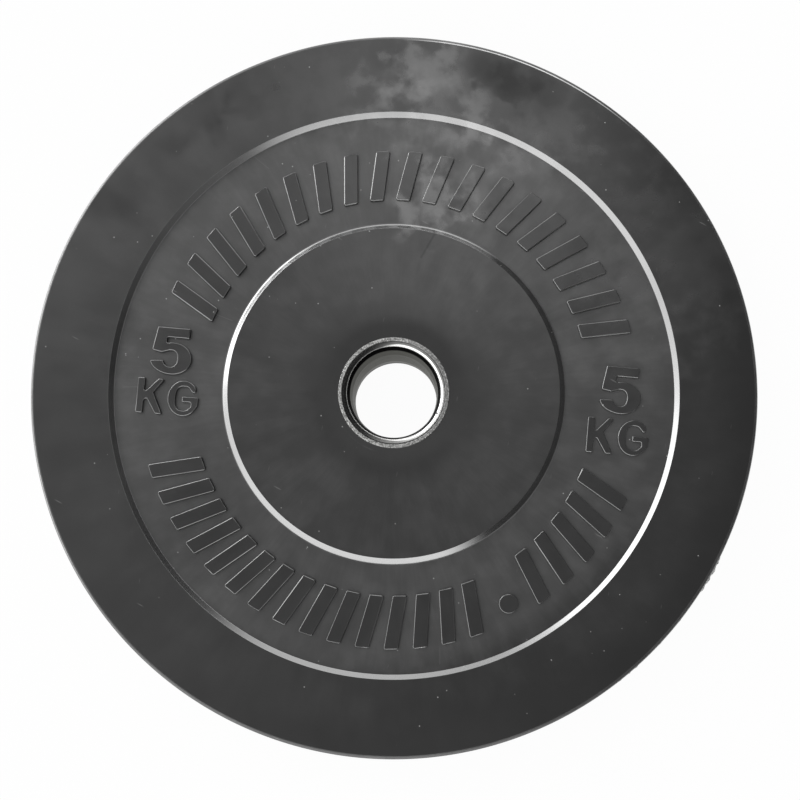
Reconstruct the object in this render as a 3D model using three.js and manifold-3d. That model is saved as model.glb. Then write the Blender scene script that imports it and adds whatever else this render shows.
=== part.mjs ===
// Rubber bumper plate, 450 mm across, for a 50 mm bar sleeve.
// It lies on its back face: the bore runs along +Z and the origin is the centre of the back face.
// Millimetres. Both faces are alike, mirrored about the middle of the thickness.

import * as THREE from "three";
import { mergeVertices } from "three/addons/utils/BufferGeometryUtils.js";
import Module from "manifold-3d";

const wasm = await Module();
wasm.setup();

// Rubber body
const PLATE_RADIUS = 225;
const PLATE_THICKNESS = 28;
const RIM_EDGE_ROUNDING = 3;
const RIM_WIDTH = 49;
const RIM_STEP_SLOPE = 2.5;
const BAND_RECESS = 2.2;
const DISC_RADIUS = 102.4;
const DISC_STEP_SLOPE = 3.8;
const STEP_ROUNDING = 0.5;
const HUB_DISH_WIDTH = 11;
const HUB_DISH_DEPTH = 0.9;

// Steel anchor ring: a tube with a hooked and pierced flange at mid thickness
const ANCHOR_WALL = 2.6;
const ANCHOR_INSET = 0.6;
const COUNTERSINK_WIDTH = 0.6;
const COUNTERSINK_DEPTH = 0.8;
const FLANGE_THICKNESS = 4;
const FLANGE_WIDTH = 17.7;
const HOOK_COUNT = 8;
const HOOK_LENGTH = 14;
const HOOK_STEM_WIDTH = 11;
const HOOK_HEAD_WIDTH = 22;
const HOOK_HEAD_DEPTH = 6;
const FLOW_HOLE_RADIUS = 4.5;

// Stainless sleeve
const BORE_RADIUS = 26;
const SLEEVE_WALL = 5.4;
const SLEEVE_INSET = 0.5;
const LIP_WIDTH = 2.6;
const LIP_DROP = 1.2;
const LIP_ROUNDING = 0.3;
const THROAT_DEPTH = 3.6;
const THROAT_ROUNDING = 3;

// Clearances and facets
const PRESS_GAP = 0.3;
const MOULD_GAP = 0.3;
const CUT_OVERRUN = 5;
const PLATE_STEPS = 96;
const HUB_STEPS = 64;
const EDGE_ARC_STEPS = 4;
const STEP_ARC_STEPS = 2;
const THROAT_ARC_STEPS = 3;
const LIP_ARC_STEPS = 2;
const FLANGE_ARC_STEPS = 2;

// Radii that follow from the bore outwards
const SLEEVE_RADIUS = BORE_RADIUS + SLEEVE_WALL;
const ANCHOR_BORE_RADIUS = SLEEVE_RADIUS + PRESS_GAP;
const ANCHOR_RADIUS = ANCHOR_BORE_RADIUS + ANCHOR_WALL;
const FLANGE_RADIUS = ANCHOR_RADIUS + FLANGE_WIDTH;
const HALF_THICKNESS = PLATE_THICKNESS / 2;

// A closed mesh as a solid for cutting and joining
function toSolid(geometry) {
  const bare = geometry.clone();
  bare.deleteAttribute("normal");
  bare.deleteAttribute("uv");
  const merged = mergeVertices(bare);
  return new wasm.Manifold(
    new wasm.Mesh({
      numProp: 3,
      vertProperties: new Float32Array(merged.attributes.position.array),
      triVerts: new Uint32Array(merged.index.array),
    }),
  );
}

function toGeometry(solid) {
  const mesh = solid.getMesh();
  const geometry = new THREE.BufferGeometry();
  geometry.setAttribute("position", new THREE.BufferAttribute(mesh.vertProperties, mesh.numProp));
  geometry.setIndex(new THREE.BufferAttribute(mesh.triVerts, 1));
  geometry.computeVertexNormals();
  return geometry;
}

// Points of a corner rounded by an arc that touches both straight runs
function roundedCorner(before, corner, after, rounding, steps) {
  const toBefore = before.clone().sub(corner).normalize();
  const toAfter = after.clone().sub(corner).normalize();
  const halfAngle = Math.acos(THREE.MathUtils.clamp(toBefore.dot(toAfter), -1, 1)) / 2;
  const bisector = toBefore.clone().add(toAfter).normalize();
  const centre = corner.clone().addScaledVector(bisector, rounding / Math.sin(halfAngle));
  const start = corner.clone().addScaledVector(toBefore, rounding / Math.tan(halfAngle)).sub(centre);
  const end = corner.clone().addScaledVector(toAfter, rounding / Math.tan(halfAngle)).sub(centre);
  const sweep = Math.atan2(start.cross(end), start.dot(end));
  const points = [];
  for (let step = 0; step <= steps; step += 1) {
    points.push(start.clone().rotateAround(new THREE.Vector2(), (sweep * step) / steps).add(centre));
  }
  return points;
}

// Corners are [radius, height above mid thickness, rounding, arc steps], from the outer wall inwards
// over the upper face. They are rounded and then mirrored down, so that both faces are alike.
function mirroredProfile(corners) {
  const places = corners.map(([radius, height]) => new THREE.Vector2(radius, height));
  const upper = corners.flatMap(([, , rounding, steps], index) => {
    const corner = places[index];
    if (!rounding) {
      return [corner];
    }
    const before = places[index - 1] ?? mirrored(corner);
    const after = places[index + 1] ?? mirrored(corner);
    return roundedCorner(before, corner, after, rounding, steps);
  });
  const lower = upper.map(mirrored).reverse();
  return [...lower, ...upper, lower[0].clone()];
}

function mirrored(point) {
  return new THREE.Vector2(point.x, -point.y);
}

function revolve(profile, steps) {
  const geometry = new THREE.LatheGeometry(profile, steps);
  geometry.rotateX(Math.PI / 2);
  return geometry;
}

// The face runs inwards: rim, step down to the band, step up to the hub disc, dish down to the metal
function rubberProfile() {
  const rimInner = PLATE_RADIUS - RIM_WIDTH;
  const bandHeight = HALF_THICKNESS - BAND_RECESS;
  const dishEdge = ANCHOR_RADIUS + HUB_DISH_WIDTH;
  return mirroredProfile([
    [PLATE_RADIUS, HALF_THICKNESS, RIM_EDGE_ROUNDING, EDGE_ARC_STEPS],
    [rimInner, HALF_THICKNESS, STEP_ROUNDING, STEP_ARC_STEPS],
    [rimInner - RIM_STEP_SLOPE, bandHeight, STEP_ROUNDING, STEP_ARC_STEPS],
    [DISC_RADIUS + DISC_STEP_SLOPE, bandHeight, STEP_ROUNDING, STEP_ARC_STEPS],
    [DISC_RADIUS, HALF_THICKNESS, STEP_ROUNDING, STEP_ARC_STEPS],
    [dishEdge, HALF_THICKNESS],
    [ANCHOR_RADIUS, HALF_THICKNESS - HUB_DISH_DEPTH],
    [BORE_RADIUS, HALF_THICKNESS - HUB_DISH_DEPTH],
  ]);
}

// One turn round the flange: a root arc, then a tee-shaped hook, for each hook.
// Growth widens the outline and narrows the holes, which gives the rubber's hollow round the steel.
function flangeShape(growth) {
  const root = FLANGE_RADIUS + growth;
  const tip = FLANGE_RADIUS + HOOK_LENGTH + growth;
  const underHead = tip - HOOK_HEAD_DEPTH - growth * 2;
  const pitch = (Math.PI * 2) / HOOK_COUNT;
  const stemAngle = (HOOK_STEM_WIDTH / 2 + growth) / FLANGE_RADIUS;
  const headAngle = (HOOK_HEAD_WIDTH / 2 + growth) / tip;
  const shape = new THREE.Shape();
  for (let hook = 0; hook < HOOK_COUNT; hook += 1) {
    const middle = pitch * hook;
    shape.absarc(0, 0, root, middle - pitch + stemAngle, middle - stemAngle, false);
    shape.absarc(0, 0, underHead, middle - stemAngle, middle - headAngle, true);
    shape.absarc(0, 0, tip, middle - headAngle, middle + headAngle, false);
    shape.absarc(0, 0, underHead, middle + headAngle, middle + stemAngle, true);
  }
  shape.closePath();
  shape.holes.push(circlePath(0, 0, ANCHOR_RADIUS - ANCHOR_WALL / 2));
  const holeCircle = (ANCHOR_RADIUS + FLANGE_RADIUS) / 2;
  for (let hook = 0; hook < HOOK_COUNT; hook += 1) {
    const angle = pitch * (hook + 1 / 2);
    const x = holeCircle * Math.cos(angle);
    const y = holeCircle * Math.sin(angle);
    shape.holes.push(circlePath(x, y, FLOW_HOLE_RADIUS - growth));
  }
  return shape;
}

function circlePath(x, y, radius) {
  const path = new THREE.Path();
  for (let quarter = 0; quarter < 4; quarter += 1) {
    const start = (Math.PI / 2) * quarter;
    path.absarc(x, y, radius, start, start + Math.PI / 2, false);
  }
  return path;
}

function flangeSolid(growth) {
  const depth = FLANGE_THICKNESS + growth * 2;
  const geometry = new THREE.ExtrudeGeometry(flangeShape(growth), {
    depth,
    bevelEnabled: false,
    curveSegments: FLANGE_ARC_STEPS,
  });
  geometry.translate(0, 0, -depth / 2);
  return toSolid(geometry);
}

// The steel lies in a hollow of the rubber that opens only where the tube's ends show
function makeRubberBody() {
  const blank = toSolid(revolve(rubberProfile(), PLATE_STEPS));
  const seat = mirroredProfile([
    [ANCHOR_RADIUS + MOULD_GAP, HALF_THICKNESS + CUT_OVERRUN],
    [BORE_RADIUS - CUT_OVERRUN, HALF_THICKNESS + CUT_OVERRUN],
  ]);
  const hollow = toSolid(revolve(seat, HUB_STEPS)).add(flangeSolid(MOULD_GAP));
  const material = new THREE.MeshStandardMaterial({ color: 0x202122, roughness: 0.62, metalness: 0 });
  return placed("rubber_body", toGeometry(blank.subtract(hollow)), material);
}

// The tube's bore is countersunk at each end, round the lip of the sleeve
function makeAnchorRing() {
  const end = HALF_THICKNESS - ANCHOR_INSET;
  const tube = mirroredProfile([
    [ANCHOR_RADIUS, end],
    [ANCHOR_BORE_RADIUS + COUNTERSINK_WIDTH, end],
    [ANCHOR_BORE_RADIUS, end - COUNTERSINK_DEPTH],
  ]);
  const solid = toSolid(revolve(tube, HUB_STEPS)).add(flangeSolid(0));
  const material = new THREE.MeshStandardMaterial({ color: 0x8a8a88, roughness: 0.5, metalness: 1 });
  return placed("anchor_ring", toGeometry(solid), material);
}

// At each mouth a shallow lip slopes inwards, and a steep throat leads from its edge to the bore
function makeHubSleeve() {
  const end = HALF_THICKNESS - SLEEVE_INSET;
  const lipEdge = end - LIP_DROP;
  const profile = mirroredProfile([
    [SLEEVE_RADIUS, end, LIP_ROUNDING, LIP_ARC_STEPS],
    [SLEEVE_RADIUS - LIP_WIDTH, lipEdge],
    [BORE_RADIUS, lipEdge - THROAT_DEPTH, THROAT_ROUNDING, THROAT_ARC_STEPS],
  ]);
  const material = new THREE.MeshStandardMaterial({ color: 0xc4c5c7, roughness: 0.22, metalness: 1 });
  return placed("hub_sleeve", revolve(profile, HUB_STEPS), material);
}

function placed(name, geometry, material) {
  const mesh = new THREE.Mesh(geometry, material);
  mesh.name = name;
  mesh.position.z = HALF_THICKNESS;
  return mesh;
}

const plate = new THREE.Group();
plate.add(makeRubberBody(), makeAnchorRing(), makeHubSleeve());

export default plate;
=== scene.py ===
import math

import bmesh
import bpy
import numpy as np
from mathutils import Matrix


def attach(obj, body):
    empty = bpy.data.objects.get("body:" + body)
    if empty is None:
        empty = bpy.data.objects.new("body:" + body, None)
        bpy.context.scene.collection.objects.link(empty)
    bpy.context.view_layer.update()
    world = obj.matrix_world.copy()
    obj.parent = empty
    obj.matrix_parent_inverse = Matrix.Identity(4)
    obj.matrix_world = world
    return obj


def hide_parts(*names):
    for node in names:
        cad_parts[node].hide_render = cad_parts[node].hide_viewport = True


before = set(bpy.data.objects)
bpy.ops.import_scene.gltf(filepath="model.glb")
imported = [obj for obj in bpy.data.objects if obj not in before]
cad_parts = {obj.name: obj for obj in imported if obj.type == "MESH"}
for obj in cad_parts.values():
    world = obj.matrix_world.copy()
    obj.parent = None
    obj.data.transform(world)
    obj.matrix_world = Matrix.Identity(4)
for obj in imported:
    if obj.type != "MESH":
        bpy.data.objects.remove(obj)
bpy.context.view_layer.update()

# Hub sleeve
# The turned stainless lining of the bore, pressed into the anchor ring. The front mouth has a rough
# outer slope, a lip that the bar has polished and a steep throat painted black as shade; the back mouth
# is shallow. Its colour also holds painted shade on the left of the mouth and low in the bore, and
# painted highlights at the lower right of the mouth and low in the bore.

MM = 0.001
FULL_TURN = 2 * math.pi
BORE_RADIUS = 26.5
MOUTH_RADIUS = 27.4
THROAT_RADIUS = 28.85
BEAD_RADIUS = 29.25
LIP_RADIUS = 30.4
SLEEVE_RADIUS = 31.5
NICK_PLACE = (26.9, -12.8, 26.65)
FLARE_HIGHLIGHT_HEIGHTS = (5.6, 8.0)
FLARE_SHADE_HEIGHTS = (0.9, 4.6)
TURNING_DEPTH = 0.00004
SLEEVE_STEPS = 192
CORNER_STEPS = 4
EDGE_RUN = 0.08

# Sides of the bore, as turns in degrees from the right of the photograph
SLEEVE_SHADE_SIDE = 175
SLEEVE_HIGHLIGHT_SIDE = -35
HIGHLIGHT_NARROW_SIDE = 255

WALL_DARK = (0.07, 0.07, 0.062, 1)
WALL_LIGHT = (0.11, 0.11, 0.1, 1)
WALL_STAIN = (0.07, 0.07, 0.065, 1)
WALL_PAINTED_HIGHLIGHT = (0.27, 0.27, 0.26, 1)
WALL_PAINTED_SHADE = (0.02, 0.02, 0.02, 1)
FACE_UNSHADED = (0.26, 0.26, 0.255, 1)
FACE_PAINTED_SHADE = (0.03, 0.03, 0.03, 1)
FACE_PIT = (0.16, 0.16, 0.155, 1)
FACE_PAINTED_HIGHLIGHT = (0.62, 0.62, 0.61, 1)
LIP_UNSHADED = (0.8, 0.8, 0.79, 1)
LIP_PAINTED_SHADE = (0.42, 0.42, 0.41, 1)
THROAT_PAINTED_SHADE = (0.003, 0.003, 0.003, 1)
NICK_BLACK = (0.03, 0.03, 0.03, 1)

SLEEVE_FRONT = [
    (SLEEVE_RADIUS, 27.4, 0.1),
    (LIP_RADIUS, 27.05, 0.15),
    (BEAD_RADIUS, 26.35, 0.15),
    (THROAT_RADIUS + 0.1, 26.6, 0.12),
    (THROAT_RADIUS, 26.5, 0.06),
    (MOUTH_RADIUS, 24.4, 0.15),
    (BORE_RADIUS, 19.0, 2.0),
]
SLEEVE_BACK = [
    (BORE_RADIUS, 6.0, 2.0),
    (BORE_RADIUS + 0.9, 1.3, 0.3),
    (THROAT_RADIUS, 0.75, 0.15),
    (LIP_RADIUS, 0.9, 0.3),
    (SLEEVE_RADIUS, 0.6, 0.1),
]


def rounded_loop(corners, steps, run):
    """Points of a closed outline whose corners are arcs.

    A corner is (across, up, rounding). The unit vectors to its two neighbours meet at
    twice the angle a: the arc's centre lies on their bisector at rounding / sin(a) and its ends lie
    on the straight runs at rounding / tan(a). The arc turns evenly from one end to the other. One
    more point lies on each straight, run beyond the arc, so that the flats are shaded flat.
    """
    place = corners[:, :2]
    rounding = corners[:, 2:3]
    back = np.roll(place, 1, axis=0) - place
    ahead = np.roll(place, -1, axis=0) - place
    back /= np.linalg.norm(back, axis=1, keepdims=True)
    ahead /= np.linalg.norm(ahead, axis=1, keepdims=True)
    half = np.arccos(np.clip(np.sum(back * ahead, axis=1, keepdims=True), -1, 1)) / 2
    bisector = back + ahead
    bisector /= np.linalg.norm(bisector, axis=1, keepdims=True)
    centre = place + bisector * rounding / np.sin(half)
    start = place + back * rounding / np.tan(half)
    end = place + ahead * rounding / np.tan(half)
    first = start - centre
    last = end - centre
    turn = np.arctan2(
        first[:, 0] * last[:, 1] - first[:, 1] * last[:, 0], np.sum(first * last, axis=1)
    )
    part = turn[:, None] * np.linspace(0, 1, steps + 1)
    arc = np.stack(
        [
            first[:, :1] * np.cos(part) - first[:, 1:] * np.sin(part),
            first[:, :1] * np.sin(part) + first[:, 1:] * np.cos(part),
        ],
        axis=-1,
    )
    points = np.concatenate(
        [(start + back * run)[:, None], centre[:, None] + arc, (end + ahead * run)[:, None]], axis=1
    )
    return points.reshape(-1, 2)


def revolved(profile, steps):
    """Vertices and quads of a closed profile turned once round Z.

    The point (r, z) at turn t lies at (r cos t, r sin t, z). A quad joins two neighbouring points
    of the profile at one turn to the same two at the next, and the last turn joins the first.
    """
    turn = np.arange(steps) * FULL_TURN / steps
    radius, height = profile.T
    vertices = np.stack(
        [
            np.outer(np.cos(turn), radius),
            np.outer(np.sin(turn), radius),
            np.tile(height, (steps, 1)),
        ],
        axis=-1,
    )
    index = np.arange(vertices[..., 0].size).reshape(steps, len(profile))
    after = np.roll(index, -1, axis=0)
    quads = np.stack([index, after, np.roll(after, -1, axis=1), np.roll(index, -1, axis=1)], axis=-1)
    return vertices.reshape(-1, 3), quads.reshape(-1, 4)


def new_piece(name, vertices, faces, material):
    """A mesh object at the origin from vertices in millimetres, shaded smooth."""
    mesh = bpy.data.meshes.new(name)
    mesh.from_pydata((vertices * MM).tolist(), [], faces.tolist())
    mesh.polygons.foreach_set("use_smooth", np.ones(len(faces), bool))
    mesh.materials.append(material)
    piece = bpy.data.objects.new(name, mesh)
    bpy.context.scene.collection.objects.link(piece)
    return piece


def new_node(tree, kind, inputs=None, **settings):
    """A shader node with its settings; each input is a plain value or another node's output."""
    node = tree.nodes.new("ShaderNode" + kind)
    for name, setting in settings.items():
        setattr(node, name, setting)
    for name, value in (inputs or {}).items():
        if isinstance(value, bpy.types.NodeSocket):
            tree.links.new(value, node.inputs[name])
        else:
            node.inputs[name].default_value = value
    return node


def maths(tree, operation, first, second=0.0):
    return new_node(tree, "Math", {0: first, 1: second}, operation=operation).outputs[0]


def times(tree, first, second):
    return maths(tree, "MULTIPLY", first, second)


def added(tree, value, mask, change):
    """The value, changed by that much where the mask is 1."""
    return maths(tree, "ADD", value, times(tree, mask, change))


def ramp(tree, value, low, high, start=0.0, end=1.0):
    """Smooth change from start, where the value is low, to end, where it is high."""
    inputs = {"Value": value, "From Min": low, "From Max": high, "To Min": start, "To Max": end}
    return new_node(tree, "MapRange", inputs, interpolation_type="SMOOTHSTEP").outputs["Result"]


def blended(tree, share, first, second):
    """Colour between the first and the second, by a share from 0 to 1."""
    mix = new_node(tree, "Mix", {0: share, 6: first, 7: second}, data_type="RGBA")
    return mix.outputs[2]


def painted(tree, colour, paint, mask, strength):
    """The colour, covered where the mask is 1 by a paint of that strength."""
    return blended(tree, times(tree, mask, strength), colour, paint)


def mixed(tree, share, first, second):
    """Number between the first and the second, by a share from 0 to 1."""
    return new_node(tree, "Mix", {0: share, 2: first, 3: second}).outputs[0]


def flattened(tree, place):
    """The place with its height made 0."""
    return new_node(tree, "VectorMath", {0: place, 1: (1, 1, 0)}, operation="MULTIPLY").outputs[0]


def cosine(degrees):
    return math.cos(math.radians(degrees))


def sine(degrees):
    return math.sin(math.radians(degrees))


def new_group(name, inputs, outputs):
    """An empty shader group with named sockets, its input node and its output node."""
    group = bpy.data.node_groups.new(name, "ShaderNodeTree")
    for socket, kind, value in inputs:
        made = group.interface.new_socket(name=socket, in_out="INPUT", socket_type="NodeSocket" + kind)
        if value is not None:
            made.default_value = value
    for socket in outputs:
        group.interface.new_socket(name=socket, in_out="OUTPUT", socket_type="NodeSocketFloat")
    return group, group.nodes.new("NodeGroupInput"), group.nodes.new("NodeGroupOutput")


def use_group(tree, group, inputs):
    node = tree.nodes.new("ShaderNodeGroup")
    node.node_tree = group
    for name, value in inputs.items():
        if isinstance(value, bpy.types.NodeSocket):
            tree.links.new(value, node.inputs[name])
        else:
            node.inputs[name].default_value = value
    return node.outputs[0]


# Soft cloudy patches: noise of a given size in millimetres, cut to a smooth mask between two levels
patches, given, made = new_group(
    "soft_patches",
    [("Position", "Vector", None), ("Size", "Float", 20.0), ("Low", "Float", 0.4), ("High", "Float", 0.7)],
    ["Mask"],
)
scaled = new_node(
    patches, "VectorMath",
    {0: given.outputs["Position"], 3: maths(patches, "DIVIDE", 1.0, given.outputs["Size"])},
    operation="SCALE",
)
clouds = new_node(patches, "TexNoise", {"Vector": scaled.outputs[0], "Scale": 1.0, "Detail": 4.0})
patches.links.new(
    ramp(patches, clouds.outputs["Fac"], given.outputs["Low"], given.outputs["High"]),
    made.inputs["Mask"],
)

# Round streaks: noise that is stretched round the bore or along the radius, and has no seam
streaks, given, made = new_group(
    "round_streaks",
    [("Position", "Vector", None), ("Around", "Float", 1.0), ("Across", "Float", 1.0)],
    ["Value"],
)
flat = flattened(streaks, given.outputs["Position"])
aim = new_node(streaks, "VectorMath", {0: flat}, operation="NORMALIZE")
round_part = new_node(
    streaks, "VectorMath", {0: aim.outputs[0], 3: given.outputs["Around"]}, operation="SCALE"
)
reach = new_node(streaks, "VectorMath", {0: flat}, operation="LENGTH")
height = new_node(streaks, "SeparateXYZ", {0: given.outputs["Position"]}).outputs["Z"]
along = times(streaks, maths(streaks, "ADD", reach.outputs["Value"], height), given.outputs["Across"])
lift = new_node(streaks, "CombineXYZ", {"Z": along})
both = new_node(streaks, "VectorMath", {0: round_part.outputs[0], 1: lift.outputs[0]}, operation="ADD")
bands = new_node(streaks, "TexNoise", {"Vector": both.outputs[0], "Scale": 1.0, "Detail": 3.0})
streaks.links.new(bands.outputs["Fac"], made.inputs["Value"])

# Specks: round or long dots, one to a cell of the given size, of which only a share shows
specks, given, made = new_group(
    "specks",
    [
        ("Position", "Vector", None), ("Cell", "Vector", None), ("Turn", "Float", 0.0),
        ("Share", "Float", 0.1), ("Dot", "Float", 0.1),
    ],
    ["Mask"],
)
turned = new_node(
    specks, "VectorRotate", {"Vector": given.outputs["Position"], "Angle": given.outputs["Turn"]},
    rotation_type="Z_AXIS",
)
cells = new_node(
    specks, "VectorMath", {0: turned.outputs[0], 1: given.outputs["Cell"]}, operation="DIVIDE"
)
dots = new_node(specks, "TexVoronoi", {"Vector": cells.outputs[0], "Scale": 1.0})
lottery = new_node(specks, "SeparateColor", {0: dots.outputs["Color"]}).outputs[0]
chosen = maths(specks, "LESS_THAN", lottery, given.outputs["Share"])
dot = ramp(
    specks, dots.outputs["Distance"], given.outputs["Dot"],
    times(specks, given.outputs["Dot"], 0.4),
)
specks.links.new(times(specks, chosen, dot), made.inputs["Mask"])


def from_bore(tree, position):
    """The distance of a place from the axis of the bore, in millimetres."""
    return new_node(tree, "VectorMath", {0: flattened(tree, position)}, operation="LENGTH").outputs["Value"]


def towards(tree, position, turn):
    """How far a place lies towards a turn round the bore, in degrees: 1 there, -1 on the far side."""
    aim = new_node(tree, "VectorMath", {0: flattened(tree, position)}, operation="NORMALIZE")
    side = (cosine(turn), sine(turn), 0)
    lean = new_node(tree, "VectorMath", {0: aim.outputs[0], 1: side}, operation="DOT_PRODUCT")
    return lean.outputs["Value"]


def between(tree, value, low, high, soft):
    """1 where the value lies between low and high, and 0 outside, over a soft edge."""
    rise = ramp(tree, value, low - soft, low + soft)
    return times(tree, rise, ramp(tree, value, high + soft, high - soft))


def new_material(name):
    """A material with a Principled shader, and the piece's position in millimetres for its patterns."""
    material = bpy.data.materials.new(name)
    material.use_nodes = True
    tree = material.node_tree
    shader = tree.nodes["Principled BSDF"]
    coordinates = new_node(tree, "TexCoord")
    position = new_node(
        tree, "VectorMath", {0: coordinates.outputs["Object"], 3: 1 / MM}, operation="SCALE"
    )
    return material, tree, shader, position.outputs[0], coordinates.outputs["Normal"]


def connect(tree, shader, sockets):
    for name, output in sockets.items():
        tree.links.new(output, shader.inputs[name])


def bumped(tree, height, distance, strength=1.0):
    bump = new_node(tree, "Bump", {"Height": height, "Distance": distance, "Strength": strength})
    return bump.outputs["Normal"]


sleeve_steel, tree, shader, position, _ = new_material("turned_stainless")
radius = from_bore(tree, position)
# Painted shade: the face and the lip of the mouth are coloured darker on the left side, and the polished
# band is narrower there.
sleeve_painted_shade = ramp(tree, towards(tree, position, SLEEVE_SHADE_SIDE), -0.15, 0.6)
# Painted highlight: the polished band of the lip is wider and softer at the lower right and narrower at the
# lower left. The face of the mouth is coloured lighter at the lower right.
sleeve_painted_highlight = ramp(tree, towards(tree, position, SLEEVE_HIGHLIGHT_SIDE), 0.55, 0.95)
highlight_narrowing = ramp(tree, towards(tree, position, HIGHLIGHT_NARROW_SIDE), 0.3, 0.9)
lip_edge = added(tree, LIP_RADIUS - 0.1, sleeve_painted_shade, -1.3)
lip_edge = added(tree, lip_edge, highlight_narrowing, -0.6)
lip_edge = maths(tree, "MAXIMUM", maths(tree, "ADD", lip_edge, sleeve_painted_highlight), BEAD_RADIUS + 0.15)
fade = mixed(tree, sleeve_painted_highlight, 0.25, 0.7)
polish_and_highlight = times(
    tree,
    ramp(tree, radius, THROAT_RADIUS + 0.05, THROAT_RADIUS + 0.2),
    ramp(tree, maths(tree, "SUBTRACT", radius, lip_edge), fade, times(tree, fade, -1.0)),
)
# Painted shade: the steep throat of the front mouth is coloured near black.
throat_shade = between(tree, radius, MOUTH_RADIUS - 0.05, THROAT_RADIUS + 0.08, 0.08)
height = new_node(tree, "SeparateXYZ", {0: position}).outputs["Z"]
# Painted light on the bore wall near the back mouth: a light line where the wall starts to flare, and a dark
# line of shade below it.
flare_highlight = between(tree, height, *FLARE_HIGHLIGHT_HEIGHTS, 0.4)
flare_shade = between(tree, height, *FLARE_SHADE_HEIGHTS, 0.4)
turning = use_group(tree, streaks, {"Position": position, "Around": 1.5, "Across": 4.0})
stain = use_group(tree, patches, {"Position": position, "Size": 5.0, "Low": 0.35, "High": 0.75})
pits = use_group(
    tree, specks, {"Position": position, "Cell": (0.55, 0.55, 0.55), "Share": 0.6, "Dot": 0.5}
)
outside = ramp(tree, radius, THROAT_RADIUS - 0.3, THROAT_RADIUS)
dull = blended(tree, turning, WALL_DARK, WALL_LIGHT)
dull = painted(tree, dull, WALL_STAIN, stain, 0.3)
dull = painted(tree, dull, WALL_PAINTED_HIGHLIGHT, flare_highlight, 0.5)
dull = painted(tree, dull, WALL_PAINTED_SHADE, flare_shade, 0.7)
rough_face = blended(tree, sleeve_painted_shade, FACE_UNSHADED, FACE_PAINTED_SHADE)
rough_face = painted(tree, rough_face, FACE_PIT, pits, 0.5)
rough_face = painted(tree, rough_face, FACE_PAINTED_HIGHLIGHT, sleeve_painted_highlight, 0.6)
dull = blended(tree, outside, dull, rough_face)
bright = blended(tree, sleeve_painted_shade, LIP_UNSHADED, LIP_PAINTED_SHADE)
colour = blended(tree, polish_and_highlight, dull, bright)
colour = blended(tree, throat_shade, colour, THROAT_PAINTED_SHADE)
nick = new_node(tree, "VectorMath", {0: position, 1: NICK_PLACE}, operation="DISTANCE")
colour = blended(tree, ramp(tree, nick.outputs["Value"], 0.95, 0.45), colour, NICK_BLACK)
rough = ramp(tree, turning, 0.3, 0.7, 0.42, 0.6)
rough = added(tree, rough, polish_and_highlight, -0.28)
shader.inputs["Metallic"].default_value = 1.0
connect(
    tree, shader,
    {"Base Color": colour, "Roughness": rough, "Normal": bumped(tree, turning, TURNING_DEPTH)},
)

profile = rounded_loop(np.array(SLEEVE_BACK + SLEEVE_FRONT), CORNER_STEPS, EDGE_RUN)
sleeve = new_piece("turned_hub_sleeve", *revolved(profile, SLEEVE_STEPS), sleeve_steel)
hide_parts("hub_sleeve")
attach(sleeve, "root")

# Anchor ring
# The plated steel core that the rubber is moulded round. Only the flat ends of its tube show, dull and
# pitted; a flange with hooks and flow holes is welded round its middle, inside the rubber.

PLATE_THICKNESS = 28.0
MIDDLE = PLATE_THICKNESS / 2
ANCHOR_BORE = 31.55
ANCHOR_RADIUS = 34.3
ANCHOR_TOP = 27.4
COUNTERSINK_WIDTH = 0.75
COUNTERSINK_DEPTH = 0.7
FLANGE_THICKNESS = 4.0
FLANGE_RADIUS = 52.0
HOOK_COUNT = 8
HOOK_LENGTH = 14.0
HOOK_STEM = 5.5
HOOK_HEAD = 11.0
HOOK_HEAD_DEPTH = 6.0
FLOW_HOLE_RADIUS = 4.5
FLANGE_GAP = 0.02
PLATING_DEPTH = 0.00006
RING_STEPS = 192
HOLE_STEPS = 24
ARC_POINTS = 9
SHORT_ARC_POINTS = 3

PLATING_DULL = (0.2, 0.2, 0.195, 1)
PLATING_BRIGHT = (0.6, 0.6, 0.59, 1)
PLATING_PIT = (0.06, 0.06, 0.06, 1)
PLATING_SPECK = (0.8, 0.8, 0.79, 1)

ANCHOR_FACE = [
    (ANCHOR_RADIUS, ANCHOR_TOP, 0.3),
    (ANCHOR_BORE + COUNTERSINK_WIDTH, ANCHOR_TOP, 0.15),
    (ANCHOR_BORE, ANCHOR_TOP - COUNTERSINK_DEPTH, 0.1),
]


def grey(level):
    """A plain grey of that level, a touch warm."""
    return (level, level, level * 0.99, 1.0)


def both_faces(corners):
    """Closed outline of a piece that is alike on both faces, from the corners of its upper half.

    The lower half is the upper one with every height turned to the plate's thickness less that
    height. It comes first and in reverse, so the outline runs up the outer wall and inwards.
    """
    upper = np.asarray(corners, float)
    lower = upper[::-1].copy()
    lower[:, 1] = PLATE_THICKNESS - lower[:, 1]
    return np.concatenate([lower, upper])


def arc_points(radius, start, end, count):
    """Points on a circle round the bore, at even angles from start to end."""
    angle = np.linspace(start, end, count)
    return np.stack([radius * np.cos(angle), radius * np.sin(angle)], axis=-1)


def hook_outline():
    """The flange's outline: for each hook an arc of the root, then the tee of its stem and head."""
    pitch = FULL_TURN / HOOK_COUNT
    tip = FLANGE_RADIUS + HOOK_LENGTH
    under = tip - HOOK_HEAD_DEPTH
    stem = HOOK_STEM / FLANGE_RADIUS
    head = HOOK_HEAD / tip
    one = np.concatenate(
        [
            arc_points(FLANGE_RADIUS, stem - pitch, -stem, ARC_POINTS),
            arc_points(under, -stem, -head, SHORT_ARC_POINTS),
            arc_points(tip, -head, head, ARC_POINTS),
            arc_points(under, head, stem, SHORT_ARC_POINTS),
        ]
    )
    middle = np.arange(HOOK_COUNT)[:, None] * pitch
    x = one[:, 0] * np.cos(middle) - one[:, 1] * np.sin(middle)
    y = one[:, 0] * np.sin(middle) + one[:, 1] * np.cos(middle)
    return np.stack([x.ravel(), y.ravel()], axis=-1)


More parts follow.
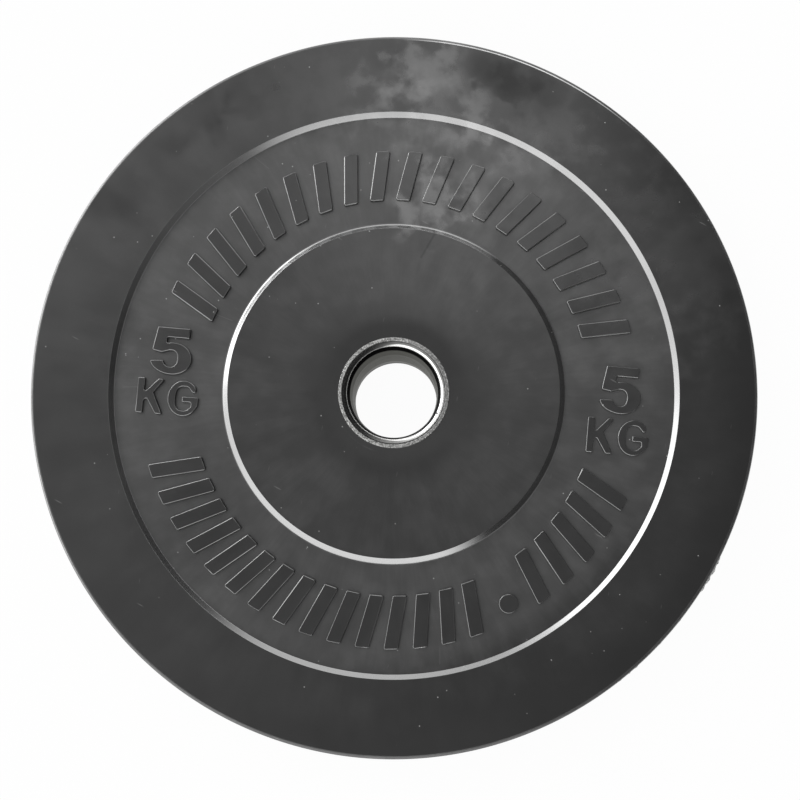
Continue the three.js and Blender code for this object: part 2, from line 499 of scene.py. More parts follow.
def plate_from_outlines(name, outlines, half_thickness, bevel=0.0, bevel_steps=0):
    """Mesh of a flat plate of the outlines, which are in millimetres, with its middle at height 0.

    The outlines are closed flat curves. Where one lies inside another it is a hole. The curve is
    filled and extruded both ways, and a bevel stays inside the outline.
    """
    curve = bpy.data.curves.new(name, "CURVE")
    curve.dimensions = "2D"
    curve.fill_mode = "BOTH"
    curve.extrude = half_thickness * MM
    curve.bevel_depth = bevel * MM
    curve.bevel_resolution = bevel_steps
    curve.offset = -bevel * MM
    for outline in outlines:
        spline = curve.splines.new("POLY")
        spline.points.add(len(outline) - 1)
        four = np.zeros((len(outline), 4), np.float32)
        four[:, :2] = outline * MM
        four[:, 3] = 1.0
        spline.points.foreach_set("co", four.ravel())
        spline.use_cyclic_u = True
    holder = bpy.data.objects.new(name, curve)
    bpy.context.scene.collection.objects.link(holder)
    bpy.context.view_layer.update()
    seen = holder.evaluated_get(bpy.context.evaluated_depsgraph_get())
    mesh = bpy.data.meshes.new_from_object(seen)
    bpy.data.objects.remove(holder)
    return mesh


def merged_geometry(mesh):
    """Vertices in millimetres and triangles of a mesh whose doubles are merged and faces turned outwards."""
    work = bmesh.new()
    work.from_mesh(mesh)
    bmesh.ops.remove_doubles(work, verts=work.verts, dist=0.00001)
    bmesh.ops.triangulate(work, faces=work.faces)
    bmesh.ops.recalc_face_normals(work, faces=work.faces)
    work.to_mesh(mesh)
    work.free()
    vertices = np.zeros(len(mesh.vertices) * 3, np.float32)
    mesh.vertices.foreach_get("co", vertices)
    faces = np.zeros(len(mesh.polygons) * 3, np.int32)
    mesh.polygons.foreach_get("vertices", faces)
    bpy.data.meshes.remove(mesh)
    return vertices.reshape(-1, 3).astype(float) / MM, faces.reshape(-1, 3)


plated_steel, tree, shader, position, _ = new_material("pitted_plating")
pits = use_group(
    tree, specks, {"Position": position, "Cell": (0.6, 0.6, 0.6), "Share": 0.6, "Dot": 0.55}
)
lights = use_group(
    tree, specks, {"Position": position, "Cell": (0.8, 0.8, 0.8), "Share": 0.45, "Dot": 0.5}
)
wear = use_group(tree, patches, {"Position": position, "Size": 1.3, "Low": 0.35, "High": 0.7})
rings = use_group(tree, streaks, {"Position": position, "Around": 2.0, "Across": 3.0})
colour = blended(tree, wear, PLATING_DULL, PLATING_BRIGHT)
colour = painted(tree, colour, PLATING_PIT, pits, 0.75)
colour = painted(tree, colour, PLATING_SPECK, lights, 0.6)
shade_side = ramp(tree, towards(tree, position, 5), 0.2, 0.9, 0.0, 0.5)
inner_part = ramp(tree, from_bore(tree, position), ANCHOR_RADIUS - 0.4, ANCHOR_RADIUS - 0.8)
colour = painted(tree, colour, grey(0.12), shade_side, inner_part)
# Painted shade in the countersink: near black on its left side, dark grey on its right.
sunk = ramp(tree, from_bore(tree, position), ANCHOR_BORE + 0.8, ANCHOR_BORE + 0.5)
countersink_painted_shade = blended(tree, ramp(tree, towards(tree, position, 150), 0.0, 0.6), grey(0.22), grey(0.03))
colour = painted(tree, colour, countersink_painted_shade, sunk, 0.85)
rough = ramp(tree, rings, 0.3, 0.7, 0.42, 0.62)
height = added(tree, rings, pits, -0.8)
shader.inputs["Metallic"].default_value = 0.85
connect(
    tree, shader,
    {"Base Color": colour, "Roughness": rough, "Normal": bumped(tree, height, PLATING_DEPTH)},
)

profile = rounded_loop(both_faces(ANCHOR_FACE), CORNER_STEPS, EDGE_RUN)
tube_vertices, tube_quads = revolved(profile, RING_STEPS)
tube_faces = np.concatenate([tube_quads[:, [0, 1, 2]], tube_quads[:, [0, 2, 3]]])
hole_circle = (ANCHOR_RADIUS + FLANGE_RADIUS) / 2
hole_turns = (np.arange(HOOK_COUNT) + 0.5) * FULL_TURN / HOOK_COUNT
round_hole = arc_points(FLOW_HOLE_RADIUS, 0, FULL_TURN, HOLE_STEPS + 1)[:-1]
tube_hole = arc_points(ANCHOR_RADIUS + FLANGE_GAP, 0, FULL_TURN, RING_STEPS + 1)[:-1]
flow_holes = [round_hole + arc_points(hole_circle, turn, turn, 1) for turn in hole_turns]
flange = plate_from_outlines("flange", [hook_outline(), tube_hole, *flow_holes], FLANGE_THICKNESS / 2)
flange_vertices, flange_faces = merged_geometry(flange)
flange_vertices[:, 2] += MIDDLE
anchor = new_piece(
    "steel_anchor_ring",
    np.concatenate([tube_vertices, flange_vertices]),
    np.concatenate([tube_faces, flange_faces + len(tube_vertices)]),
    plated_steel,
)
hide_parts("anchor_ring")
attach(anchor, "root")

# Rubber body
# One piece of black vulcanised rubber, moulded round the anchor ring in a two-part mould: a raised rim,
# a recessed band and a raised hub disc on each face. The steps came out glossy, the rest is smudged.

PLATE_RADIUS = 225.0
RIM_ROUNDING = 3.0
RIM_INNER = 176.0
RIM_SLOPE = 2.5
BAND_RECESS = 2.2
DISC_RADIUS = 102.4
DISC_SLOPE = 3.6
DISH_WIDTH = 11.0
DISH_DEPTH = 0.9
SEAT_RADIUS = 34.35
FLANGE_ROOM = 66.5
FLANGE_ROOM_HALF = 2.3
SKIN_DEPTH = 0.00004
BODY_STEPS = 480
BODY_CORNER_STEPS = 6

# Rings of the face that have a look of their own, from and to a distance from the bore's axis
MARKS_RING = (108.0, 172.0)
BAND_RING = (105.8, 173.5)
OUTER_STEP_RING = (172.5, 177.0)
RIM_HIGHLIGHT_RING = (221.5, 222.1)
EDGE_SHADE_RING = (222.0, 222.8)
SCRAPE_RING = (37.5, 38.1)

# Sides of the plate, as turns in degrees from the right of the photograph
RIM_HIGHLIGHT_SIDE = 68
EDGE_HIGHLIGHT_SIDE = 172
EDGE_SHADE_SIDE = 180
STEP_LIGHT_SIDE = 215
SCRAPE_SIDE = 232
CORNER_SHADE_SIDE = 297

RIM_TONE = 0.012
BAND_TONE = 0.038
DISC_TONE = 0.023
HUB_TONE = 0.006
MARK_TOP_TONE = 0.011
MARK_EDGE_PAINTED_LIGHT = 0.04
STEP_PAINTED_LIGHT_TONE = 0.05
EDGE_TONE = 0.05
EDGE_HIGHLIGHT_TONE = 0.24
EDGE_SHADE_TONE = 0.002
RIM_HIGHLIGHT_TONE = 0.45
DARKEST_TONE = 0.002

BAND_TOP = PLATE_THICKNESS - BAND_RECESS
BODY_FACE = [
    (PLATE_RADIUS, PLATE_THICKNESS, RIM_ROUNDING),
    (RIM_INNER, PLATE_THICKNESS, 0.35),
    (RIM_INNER - RIM_SLOPE, BAND_TOP, 0.5),
    (DISC_RADIUS + DISC_SLOPE, BAND_TOP, 4.0),
    (DISC_RADIUS, PLATE_THICKNESS, 0.35),
    (SEAT_RADIUS + DISH_WIDTH, PLATE_THICKNESS, 90.0),
    (SEAT_RADIUS, PLATE_THICKNESS - DISH_DEPTH, 0.25),
    (SEAT_RADIUS, MIDDLE + FLANGE_ROOM_HALF, 0.2),
    (FLANGE_ROOM, MIDDLE + FLANGE_ROOM_HALF, 0.2),
]

SMUDGES = [
    # turn round the bore, distance from its axis, size, how far the outline wanders, change of tone and
    # change of roughness
    (82, 190, 52, 0.55, 0.022, -0.11),
    (85, 206, 24, 0.55, 0.034, -0.17),
    (87, 187, 16, 0.55, 0.034, -0.17),
    (74, 190, 20, 0.55, 0.024, -0.12),
    (104, 196, 40, 0.55, 0.010, -0.05),
    (69, 206, 26, 0.55, -0.034, 0.17),
    (70, 207, 17, 0.20, -0.020, 0.20),
    (75, 211, 15, 0.30, -0.030, 0.20),
    (77, 195, 8, 0.30, -0.025, 0.12),
    (65, 210, 6, 0.20, -0.010, 0.08),
    (63, 207, 16, 0.55, -0.020, 0.10),
    (91, 212, 16, 0.40, -0.020, 0.10),
    (80, 122, 26, 0.55, 0.040, -0.20),
    (70, 140, 40, 0.55, 0.008, -0.04),
    (117, 209, 26, 0.50, -0.006, -0.05),
    (124, 211, 20, 0.30, -0.005, -0.05),
    (124, 199, 13, 0.30, -0.004, -0.03),
    (131, 208, 13, 0.20, -0.005, -0.06),
    (128, 204, 9, 0.20, -0.004, -0.05),
    (144, 211, 30, 0.40, -0.004, -0.04),
    (119, 197, 22, 0.55, 0.007, -0.03),
    (128, 194, 14, 0.55, 0.006, -0.03),
    (171, 158, 30, 0.55, -0.014, 0.07),
    (140, 92, 14, 0.55, 0.007, -0.03),
    (285, 200, 120, 0.15, -0.007, 0.04),
    (280, 70, 60, 0.15, -0.004, 0.03),
    (45, 142, 90, 0.35, 0.010, -0.05),
    (90, 140, 60, 0.35, 0.008, -0.04),
    (132, 195, 60, 0.35, -0.003, 0.02),
    (60, 192, 40, 0.55, 0.012, -0.06),
    (25, 192, 75, 0.35, 0.012, -0.06),
    (15, 145, 60, 0.35, 0.010, -0.05),
    (215, 150, 34, 0.55, -0.010, 0.05),
    (300, 152, 40, 0.35, 0.008, -0.04),
]

SCRATCHES = [
    # both ends of the scratch, half its width, change of tone
    ((27.0, 101.5), (17.0, 84.0), 1.2, -0.02),
    ((-168.0, 4.0), (-159.0, 4.2), 0.4, 0.03),
    ((-168.5, 17.2), (-157.0, 17.0), 0.4, 0.015),
    ((-112.0, 50.0), (-100.5, 45.5), 0.4, 0.03),
    ((-87.5, 149.0), (-78.5, 141.5), 0.4, 0.025),
    ((28.5, -157.0), (28.5, -167.0), 0.4, 0.025),
]

# Fine grain: two sizes of noise that give a height, for a bump
grain, given, made = new_group(
    "fine_grain", [("Position", "Vector", None), ("Size", "Float", 0.5)], ["Height"]
)
scaled = new_node(
    grain, "VectorMath",
    {0: given.outputs["Position"], 3: maths(grain, "DIVIDE", 1.0, given.outputs["Size"])},
    operation="SCALE",
)
coarse = new_node(grain, "TexNoise", {"Vector": scaled.outputs[0], "Scale": 0.25, "Detail": 2.0})
fine = new_node(grain, "TexNoise", {"Vector": scaled.outputs[0], "Scale": 1.0, "Detail": 2.0})
grain.links.new(
    maths(
        grain, "ADD",
        times(grain, coarse.outputs["Fac"], 0.6),
        times(grain, fine.outputs["Fac"], 0.4),
    ),
    made.inputs["Height"],
)

# Smudge: a soft patch round a place, whose outline wanders; the size is where it has faded out
smudge, given, made = new_group(
    "smudge",
    [
        ("Position", "Vector", None), ("Place", "Vector", None), ("Size", "Float", 20.0),
        ("Wander", "Float", 0.5),
    ],
    ["Mask"],
)
away = new_node(
    smudge, "VectorMath", {0: given.outputs["Position"], 1: given.outputs["Place"]}, operation="DISTANCE"
)
share = maths(smudge, "DIVIDE", away.outputs["Value"], given.outputs["Size"])
share = maths(smudge, "ADD", share, given.outputs["Wander"])
smudge.links.new(ramp(smudge, share, 1.0, 0.15), made.inputs["Mask"])

# Straight scratch: a soft line from one place to another, on both faces of the plate
line, given, made = new_group(
    "straight_scratch",
    [
        ("Position", "Vector", None), ("Start", "Vector", None), ("Reach", "Vector", None),
        ("Half width", "Float", 0.4),
    ],
    ["Mask"],
)
flat = flattened(line, given.outputs["Position"])
offset = new_node(line, "VectorMath", {0: flat, 1: given.outputs["Start"]}, operation="SUBTRACT")
reach = given.outputs["Reach"]
along = new_node(line, "VectorMath", {0: offset.outputs[0], 1: reach}, operation="DOT_PRODUCT")
whole = new_node(line, "VectorMath", {0: reach, 1: reach}, operation="DOT_PRODUCT")
share = maths(line, "DIVIDE", along.outputs["Value"], whole.outputs["Value"])
share = maths(line, "MINIMUM", maths(line, "MAXIMUM", share, 0.0), 1.0)
nearest = new_node(line, "VectorMath", {0: reach, 3: share}, operation="SCALE")
away = new_node(line, "VectorMath", {0: offset.outputs[0], 1: nearest.outputs[0]}, operation="DISTANCE")
line.links.new(ramp(line, away.outputs["Value"], given.outputs["Half width"], 0.0), made.inputs["Mask"])

rubber, tree, shader, position, normal = new_material("moulded_rubber")
axes = new_node(tree, "SeparateXYZ", {0: position})
facing = maths(tree, "ABSOLUTE", new_node(tree, "SeparateXYZ", {0: normal}).outputs["Z"])
radius = from_bore(tree, position)
level = maths(tree, "ABSOLUTE", maths(tree, "SUBTRACT", axes.outputs["Z"], MIDDLE))
slope = times(tree, ramp(tree, facing, 0.99, 0.94), ramp(tree, facing, 0.3, 0.6))
on_marks = between(tree, radius, *MARKS_RING, 0.5)
step = times(tree, slope, ramp(tree, radius, 182.0, 180.0))
step = times(tree, step, maths(tree, "SUBTRACT", 1.0, times(tree, on_marks, 0.5)))
# Painted highlight: a thin light line on the rim near its outer edge at the upper right, which is also
# glossier there.
rim_highlight = between(tree, radius, *RIM_HIGHLIGHT_RING, 0.2)
rim_highlight = times(tree, rim_highlight, ramp(tree, towards(tree, position, RIM_HIGHLIGHT_SIDE), 0.93, 0.99))
gloss = maths(tree, "MAXIMUM", step, rim_highlight)
# Painted highlight: the rim's rounded outer edge is coloured light on its inner part, on the left side.
edge_highlight = ramp(tree, towards(tree, position, EDGE_HIGHLIGHT_SIDE), 0.55, 0.95)
edge_highlight_tone = ramp(tree, radius, 223.0, 224.4, EDGE_HIGHLIGHT_TONE, EDGE_TONE)
edge_tone = mixed(tree, edge_highlight, EDGE_TONE, edge_highlight_tone)
# Painted shade: a thin dark line just inside the rim's rounded edge, on the left side.
edge_painted_shade = times(
    tree,
    between(tree, radius, *EDGE_SHADE_RING, 0.25),
    ramp(tree, towards(tree, position, EDGE_SHADE_SIDE), 0.5, 0.8),
)
# Painted light: the slope of the outer step is coloured lighter at the lower left.
step_painted_light = times(tree, slope, between(tree, radius, *OUTER_STEP_RING, 0.5))
step_painted_light = times(tree, step_painted_light, ramp(tree, towards(tree, position, STEP_LIGHT_SIDE), 0.75, 0.97))
band = times(tree, ramp(tree, level, 12.4, 12.0), between(tree, radius, *BAND_RING, 0.5))
disc = ramp(tree, radius, 106.0, 100.0)
clouds = use_group(tree, patches, {"Position": position, "Size": 45.0, "Low": 0.35, "High": 0.7})
mottle = use_group(tree, patches, {"Position": position, "Size": 11.0, "Low": 0.3, "High": 0.75})
flow = use_group(tree, streaks, {"Position": position, "Around": 9.0, "Across": 0.02})
brushed = use_group(tree, streaks, {"Position": position, "Around": 55.0, "Across": 0.05})
dust = use_group(
    tree, specks, {"Position": position, "Cell": (8.0, 8.0, 8.0), "Share": 0.45, "Dot": 0.065}
)
scratch = use_group(
    tree, specks,
    {"Position": position, "Cell": (38.0, 5.0, 38.0), "Turn": 0.5, "Share": 0.12, "Dot": 0.09},
)
scuff = use_group(
    tree, specks,
    {"Position": position, "Cell": (3.0, 26.0, 26.0), "Turn": 0.2, "Share": 0.15, "Dot": 0.08},
)
halo = ramp(tree, radius, 66.0, 40.0)
# Painted shade: the band is darker in its corner under the outer step, at the lower right. It is also
# rougher there.
corner_painted_shade = times(
    tree,
    times(tree, band, ramp(tree, radius, 157.0, 171.0)),
    ramp(tree, towards(tree, position, CORNER_SHADE_SIDE), 0.72, 0.97),
)
raised = times(tree, ramp(tree, level, 12.6, 12.85), on_marks)
tone = mixed(tree, band, RIM_TONE, BAND_TONE)
tone = mixed(tree, disc, tone, DISC_TONE)
tone = mixed(tree, halo, tone, HUB_TONE)
tone = mixed(tree, raised, tone, MARK_TOP_TONE)
# Painted light: the bevels of the marks are coloured lighter than their tops, which softens their shaded
# sides.
tone = mixed(tree, times(tree, slope, on_marks), tone, MARK_EDGE_PAINTED_LIGHT)
tone = mixed(tree, step_painted_light, tone, STEP_PAINTED_LIGHT_TONE)
tone = times(tree, tone, ramp(tree, radius, 190.0, 220.0, 1.0, 0.3))
tone = mixed(tree, ramp(tree, radius, 221.8, 222.4), tone, edge_tone)
tone = mixed(tree, edge_painted_shade, tone, EDGE_SHADE_TONE)
tone = mixed(tree, rim_highlight, tone, RIM_HIGHLIGHT_TONE)
tone = times(tree, tone, ramp(tree, clouds, 0.0, 1.0, 0.85, 1.2))
tone = times(tree, tone, ramp(tree, mottle, 0.0, 1.0, 0.88, 1.14))
tone = times(tree, tone, ramp(tree, brushed, 0.3, 0.7, 0.93, 1.07))
wander = new_node(tree, "TexNoise", {"Vector": position, "Scale": 0.07, "Detail": 4.0}).outputs["Fac"]
wander = ramp(tree, wander, 0.25, 0.75, -1.0, 1.0)
tone = added(tree, tone, corner_painted_shade, -0.02)
roughening = times(tree, corner_painted_shade, 0.1)
for turn, reach, size, ragged, change, rougher in SMUDGES:
    inputs = {
        "Position": position, "Place": (reach * cosine(turn), reach * sine(turn), PLATE_THICKNESS),
        "Size": size, "Wander": times(tree, wander, ragged),
    }
    mask = use_group(tree, smudge, inputs)
    tone = added(tree, tone, mask, change)
    roughening = added(tree, roughening, mask, rougher)
for start, end, half_width, change in SCRATCHES:
    reach = (end[0] - start[0], end[1] - start[1], 0)
    inputs = {"Position": position, "Start": (*start, 0), "Reach": reach, "Half width": half_width}
    tone = added(tree, tone, use_group(tree, line, inputs), change)
scrape = times(
    tree,
    between(tree, radius, *SCRAPE_RING, 0.3),
    ramp(tree, towards(tree, position, SCRAPE_SIDE), 0.9, 0.98),
)
tone = added(tree, tone, scrape, times(tree, mottle, 0.05))
tone = maths(tree, "MAXIMUM", tone, DARKEST_TONE)
colour = new_node(tree, "CombineColor", {0: tone, 1: tone, 2: tone}).outputs[0]
colour = painted(tree, colour, grey(0.5), dust, 0.6)
colour = painted(tree, colour, grey(0.2), scratch, 0.35)
colour = painted(tree, colour, grey(0.14), scuff, 0.3)
rough = ramp(tree, flow, 0.3, 0.7, 0.33, 0.39)
rough = added(tree, rough, band, 0.06)
rough = maths(tree, "ADD", rough, roughening)
rough = added(tree, rough, step, -0.12)
skin = use_group(tree, grain, {"Position": position, "Size": 0.8})
skin = times(tree, maths(tree, "SUBTRACT", skin, 0.5), maths(tree, "SUBTRACT", 1.0, slope))
shader.inputs["IOR"].default_value = 1.62
shader.inputs["Coat Roughness"].default_value = 0.15
shader.inputs["Coat IOR"].default_value = 2.8
connect(
    tree, shader,
    {
        "Base Color": colour, "Roughness": rough, "Coat Weight": gloss,
        "Normal": bumped(tree, skin, SKIN_DEPTH, 0.6),
    },
)

profile = rounded_loop(both_faces(BODY_FACE), BODY_CORNER_STEPS, EDGE_RUN)
body = new_piece("moulded_rubber_body", *revolved(profile, BODY_STEPS), rubber)
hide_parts("rubber_body")
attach(body, "root")

# Mould flash
# A thin ragged edge of rubber that squeezed out where the mould's lid met its ring, trimmed by hand.
# Torn nibs are left on it, most of them at the lower right.

FLASH_HEIGHT = 25.2
FLASH_HALF = 0.45
FLASH_STEPS = 1440
FLASH_SPREAD = 0.05
FLASH_ROOT = 0.4
FLASH_SEED = 5
NIB_RAGGED = 0.45
SHRED_DEPTH = 0.0002
NIB_TURNS = (-27.6, -29.2, -30.8, -32.4, -38.6, -43.3, -48.6, -50.0, -51.8, 69.0, 214.0)
NIB_LENGTHS = (1.2, 1.7, 1.5, 1.3, 0.6, 0.5, 0.6, 0.5, 0.5, 0.3, 0.3)
NIB_WIDTHS = (0.7, 0.8, 0.8, 0.6, 0.3, 0.25, 0.4, 0.25, 0.25, 0.5, 0.6)

torn_rubber, tree, shader, position, _ = new_material("torn_rubber")
shreds = use_group(tree, patches, {"Position": position, "Size": 1.6, "Low": 0.35, "High": 0.65})
lit = use_group(tree, specks, {"Position": position, "Cell": (0.7, 0.7, 0.7), "Share": 0.5, "Dot": 0.5})
colour = blended(tree, shreds, grey(0.32), grey(0.7))
colour = painted(tree, colour, grey(0.08), lit, 0.4)
connect(
    tree, shader,
    {
        "Base Color": colour, "Roughness": ramp(tree, shreds, 0.0, 1.0, 0.55, 0.75),
        "Normal": bumped(tree, shreds, SHRED_DEPTH),
    },
)


def flash_ridge():
    """Vertices of a thin ridge round the wall: at each turn a lower root, the edge and an upper root.

    The edge stands out by an even random share of the spread, and by the longest of the nibs there
    times a random raggedness. A nib's length falls off as exp(-(d / w) ** 2), with d the turn from
    its middle and w its width. The edge stays inside the square that the plate fills, which lies at
    the plate's radius / max(|cos t|, |sin t|) from the axis at turn t.
    """
    random = np.random.default_rng(FLASH_SEED)
    turn = np.degrees(np.arange(FLASH_STEPS) * FULL_TURN / FLASH_STEPS)
    from_nib = (turn[:, None] - np.array(NIB_TURNS) + 180) % 360 - 180
    nibs = np.array(NIB_LENGTHS) * np.exp(-((from_nib / np.array(NIB_WIDTHS)) ** 2))
    ragged = random.uniform(NIB_RAGGED, 1.0, FLASH_STEPS)
    reach = FLASH_SPREAD * random.uniform(0, 1, FLASH_STEPS) + nibs.max(axis=1) * ragged
    angle = np.radians(turn)
    room = PLATE_RADIUS / np.maximum(np.abs(np.cos(angle)), np.abs(np.sin(angle)))
    outer = np.minimum(PLATE_RADIUS + reach, room)
    root = np.full(FLASH_STEPS, PLATE_RADIUS - FLASH_ROOT)
    radii = np.stack([root, outer, root], axis=1)
    heights = np.tile(FLASH_HEIGHT + np.array([-FLASH_HALF, 0, FLASH_HALF]), (FLASH_STEPS, 1))
    angle = angle[:, None]
    return np.stack([radii * np.cos(angle), radii * np.sin(angle), heights], axis=-1).reshape(-1, 3)


# Its quads join up as those of any profile of three points do
_, flash_quads = revolved(np.zeros((3, 2)), FLASH_STEPS)
flash = new_piece("mould_flash", flash_ridge(), flash_quads, torn_rubber)
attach(flash, "root")

# Raised marks
# The weight, its unit, plain slanted bars and one plain dot, of the same rubber and moulded with it by
# cuts in the mould: smooth tops, narrow rounded edges. The back has the same set, turned half round.

MARK_HALF = 0.5
MARK_BEVEL = 0.6
MARK_BEVEL_STEPS = 2
MARK_TURN = -5.1
MARK_CORNER = 1.2
LETTER_CORNER = 0.8
SOFT_STEPS = 3
SOFT_RUN = 0.01
LEVEL_LIMIT = 0.999
LEVEL_WEIGHT = 10000
FIGURE_SIZE = (26.0, 29.3)
LETTER_K_SIZE = (16.6, 22.0)
LETTER_G_SIZE = (19.0, 22.0)
GROUP_SIDE = 139.6
FIGURE_UP = 13.9
LETTER_UP = -14.9
LETTER_K_SIDE = -10.4
LETTER_G_SIDE = 10.0
BAR_WIDTH = 9.0
BAR_SLANT = 6.0
DOT_RADIUS = 6.0
DOT_DISTANCE = 148.0
DOT_TURN = 298.5
DOT_STEPS = 32

BAR_ARCS = [
    # turns of the first and the last bar in degrees, how many bars, distances of their two ends from the
    # bore's axis
    (17.0, 155.0, 19, 121.0, 152.0),
    (199.0, 290.0, 15, 125.0, 158.0),
    (307.0, 335.0, 5, 125.0, 158.0),
]


def ellipse(centre, radii, start, end, count, power=1.0):
    """Points of an ellipse at even angles, in degrees, from start to end.

    The cosine and the sine are raised to the power, with their signs kept: under 1 it swells to a
    rounded box.
    """
    angle = np.radians(np.linspace(start, end, count))
    unit = np.stack([np.cos(angle), np.sin(angle)], axis=-1)
    return np.array(centre) + np.array(radii) * np.sign(unit) * np.abs(unit) ** power


def softened(outline, rounding):
    """The outline with every corner turned to an arc of that rounding."""
    corners = np.column_stack([outline, np.full(len(outline), rounding)])
    return rounded_loop(corners, SOFT_STEPS, SOFT_RUN)


figure_five = np.concatenate(
    [
        [(0.128, 1.0), (0.042, 0.497), (0.266, 0.458)],
        ellipse((0.495, 0.338), (0.165, 0.178), 112, -150, 24, 0.85),
        [(0.318, 0.292), (0.0, 0.275)],
        ellipse((0.53, 0.3415), (0.535, 0.3415), 208, 262, 8),
        ellipse((0.53, 0.3415), (0.47, 0.3415), 270, 458, 24),
        [(0.374, 0.654), (0.378, 0.79), (0.905, 0.79), (0.92, 1.0)],
    ]
)
letter_k = np.array(
    [
        (0.0, 0.0), (0.265, 0.0), (0.265, 0.33), (0.36, 0.44), (0.74, 0.0), (1.0, 0.0),
        (0.61, 0.6), (1.0, 1.0), (0.76, 1.0), (0.265, 0.575), (0.265, 1.0), (0.0, 1.0),
    ]
)
letter_g = np.concatenate(
    [
        ellipse((0.5, 0.5), (0.5, 0.5), 40, 324, 36),
        [(0.985, 0.32), (0.985, 0.555), (0.46, 0.555), (0.46, 0.40), (0.76, 0.40), (0.765, 0.28)],
        ellipse((0.51, 0.495), (0.26, 0.342), 300, 62, 28, 0.75),
        [(0.787, 0.677), (0.886, 0.69)],
    ]
)


def placed(outline, size, centre):
    """An outline of unit size, scaled to a size and moved so that its middle is at the centre."""
    low = outline.min(axis=0)
    high = outline.max(axis=0)
    middle = (low + high) / 2
    return (outline - middle) / (high - low) * np.array(size) + np.array(centre)


def flatten_tops(piece, vertices, faces):
    """Gives each vertex the mean direction of its faces by area, with level faces counting far more.

    A vertex on the edge of a top then points straight up, and only the narrow bevel is shaded round.
    """
    a, b, c = (vertices[faces[:, corner]] for corner in range(3))
    normals = np.cross(b - a, c - a)
    level = np.abs(normals[:, 2]) > LEVEL_LIMIT * np.linalg.norm(normals, axis=1)
    normals[level] *= LEVEL_WEIGHT
    mean = np.zeros_like(vertices)
    np.add.at(mean, faces.ravel(), np.repeat(normals, 3, axis=0))
    mean /= np.linalg.norm(mean, axis=1, keepdims=True)
    piece.data.normals_split_custom_set_from_vertices(mean.tolist())


def turned_by(outline, turn):
    """The outline turned round the bore by a number of degrees."""
    across = cosine(turn)
    up = sine(turn)
    return outline @ np.array([[across, up], [-up, across]])


def bar_arc(first, last, count, inner, outer):
    """Slanted bars side by side on an arc: each stands along the radius and leans by the slant."""
    middle = (inner + outer) / 2
    half = BAR_WIDTH / 2
    lean = BAR_SLANT / 2
    corners = np.array(
        [(inner, half + lean), (inner, lean - half), (outer, -half - lean), (outer, half - lean)]
    )
    bar = softened(corners, MARK_CORNER)
    return [turned_by(bar, turn) for turn in np.linspace(first, last, count)]


mark_outlines = []
for side in (-GROUP_SIDE, GROUP_SIDE):
    group = [
        placed(figure_five, FIGURE_SIZE, (side, FIGURE_UP)),
        placed(letter_k, LETTER_K_SIZE, (side + LETTER_K_SIDE, LETTER_UP)),
        placed(letter_g, LETTER_G_SIZE, (side + LETTER_G_SIDE, LETTER_UP)),
    ]
    mark_outlines += [turned_by(softened(outline, LETTER_CORNER), MARK_TURN) for outline in group]
for bar_row in BAR_ARCS:
    mark_outlines += bar_arc(*bar_row)
dot = ellipse((0, 0), (DOT_RADIUS, DOT_RADIUS), 0, 360, DOT_STEPS + 1)[:-1]
mark_outlines.append(dot + arc_points(DOT_DISTANCE, math.radians(DOT_TURN), 0, 1))

marks_mesh = plate_from_outlines("marks", mark_outlines, MARK_HALF, MARK_BEVEL, MARK_BEVEL_STEPS)
mark_vertices, mark_faces = merged_geometry(marks_mesh)
front_vertices = mark_vertices + np.array([0, 0, BAND_TOP])
front_marks = new_piece("raised_marks_front", front_vertices, mark_faces, rubber)
back_vertices = front_vertices * np.array([-1, 1, -1]) + np.array([0, 0, PLATE_THICKNESS])
back_marks = new_piece("raised_marks_back", back_vertices, mark_faces, rubber)
flatten_tops(front_marks, front_vertices, mark_faces)
flatten_tops(back_marks, back_vertices, mark_faces)
for marks in (front_marks, back_marks):
    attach(marks, "root")

# Floor
# A plain white floor that reaches the horizon. It is all but pure white to the camera and in
# reflections, and keeps a faint shadow of the plate.

FLOOR_HALF = 40000.0
FLOOR_DROP = 0.05
SHADOW_SHARE = 0.04

floor_white = bpy.data.materials.new("white_floor")
floor_white.use_nodes = True
tree = floor_white.node_tree
tree.nodes.clear()
path = new_node(tree, "LightPath")
plain = new_node(tree, "BsdfDiffuse", {"Color": (0.8, 0.8, 0.8, 1)})
glow = new_node(tree, "Emission", {"Color": (1, 1, 1, 1), "Strength": 1.0})
shaded = new_node(tree, "MixShader", {0: SHADOW_SHARE, 1: glow.outputs[0], 2: plain.outputs[0]})
seen = maths(
    tree, "MAXIMUM",
    path.outputs["Is Camera Ray"],
    maths(tree, "MAXIMUM", path.outputs["Is Glossy Ray"], path.outputs["Is Transmission Ray"]),
)
floor_mix = new_node(tree, "MixShader", {0: seen, 1: plain.outputs[0], 2: shaded.outputs[0]})
new_node(tree, "OutputMaterial", {"Surface": floor_mix.outputs[0]})
corners = np.array([(-1, -1), (1, -1), (1, 1), (-1, 1)]) * FLOOR_HALF
floor_vertices = np.column_stack([corners, np.full(4, -FLOOR_DROP)])
floor = new_piece("floor", floor_vertices, np.array([[0, 1, 2, 3]]), floor_white)

# Light
# A soft ceiling of light over the plate, and soft walls of light on its left, below it and above it in
# the photograph. The right side stays dim. The camera itself sees a white backdrop instead.

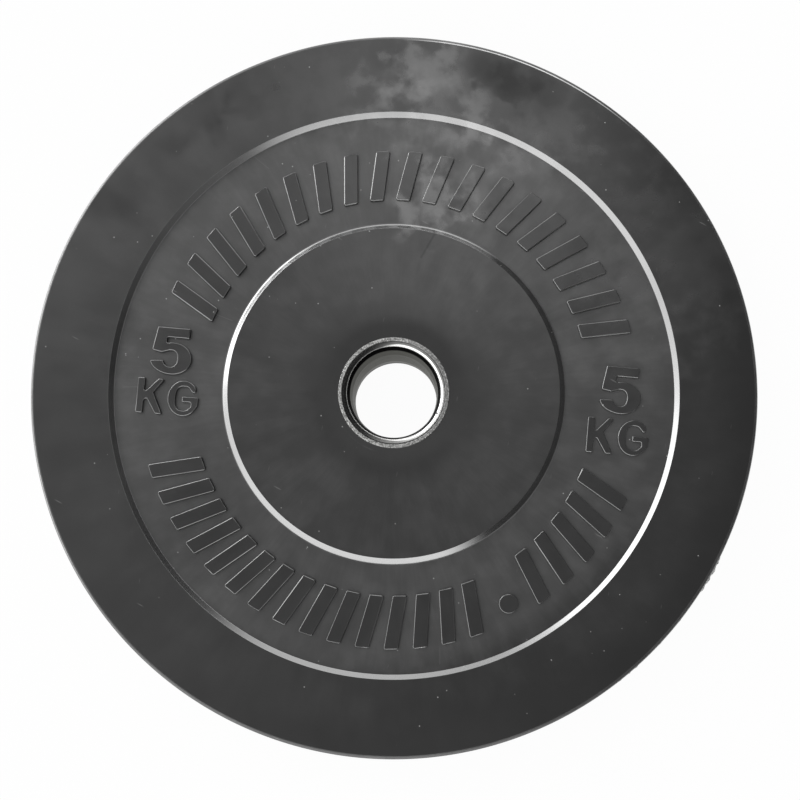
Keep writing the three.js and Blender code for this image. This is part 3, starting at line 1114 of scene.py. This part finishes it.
LOW_LIGHT = 0.06
CEILING_LIGHT = 0.44
CEILING_STARTS = 40
CEILING_FULL = 53
WALLS = [
    # turn of the wall's middle, half widths where it ends and where it is full, heights where it ends
    # and where it is full, all in degrees, and strength
    (144, 45, 0, 39, 37, 3.0),
    (239, 71, 47, 50, 46, 2.25),
    (88, 24, 8, 72, 65, 1.5),
    (140, 23, 16, 40, 13, 2.85),
]


world = bpy.data.worlds.new("studio")
bpy.context.scene.world = world
world.use_nodes = True
tree = world.node_tree
aim = new_node(tree, "TexCoord").outputs["Generated"]
height = new_node(tree, "SeparateXYZ", {0: aim}).outputs["Z"]
compass = new_node(tree, "VectorMath", {0: flattened(tree, aim)}, operation="NORMALIZE").outputs[0]
strength = ramp(tree, height, sine(CEILING_STARTS), sine(CEILING_FULL), LOW_LIGHT, CEILING_LIGHT)
for turn, width_end, width_full, height_end, height_full, light in WALLS:
    middle = (cosine(turn), sine(turn), 0)
    side = new_node(tree, "VectorMath", {0: compass, 1: middle}, operation="DOT_PRODUCT").outputs["Value"]
    wall = times(
        tree,
        ramp(tree, side, cosine(width_end), cosine(width_full)),
        ramp(tree, height, sine(height_end), sine(height_full), 0.0, light),
    )
    strength = maths(tree, "ADD", wall, strength)
path = new_node(tree, "LightPath")
strength = mixed(tree, path.outputs["Is Camera Ray"], strength, 1.0)
background = tree.nodes["Background"]
background.inputs["Color"].default_value = (1, 1, 1, 1)
tree.links.new(strength, background.inputs["Strength"])

# Camera
# Low over the plate and a little below its middle, with a rising front, so that the outline stays round
# while the wall of the bore shows at its top.

CAMERA_PLACE = (0.0267, -0.1001, 0.360)
CAMERA_TILT = (1.29, 0.13, 0.0)
LENS = 24.44
SENSOR_WIDTH = 36.0
RISE = (-0.0446, 0.1783)
NEAREST = 0.01
FARTHEST = 200.0

camera = bpy.data.objects.new("camera", bpy.data.cameras.new("camera"))
bpy.context.scene.collection.objects.link(camera)
camera.location = CAMERA_PLACE
camera.rotation_euler = [math.radians(tilt) for tilt in CAMERA_TILT]
camera.data.lens = LENS
camera.data.sensor_width = SENSOR_WIDTH
camera.data.shift_x, camera.data.shift_y = RISE
camera.data.clip_start = NEAREST
camera.data.clip_end = FARTHEST
bpy.context.scene.camera = camera
bpy.context.scene.view_settings.view_transform = "Standard"
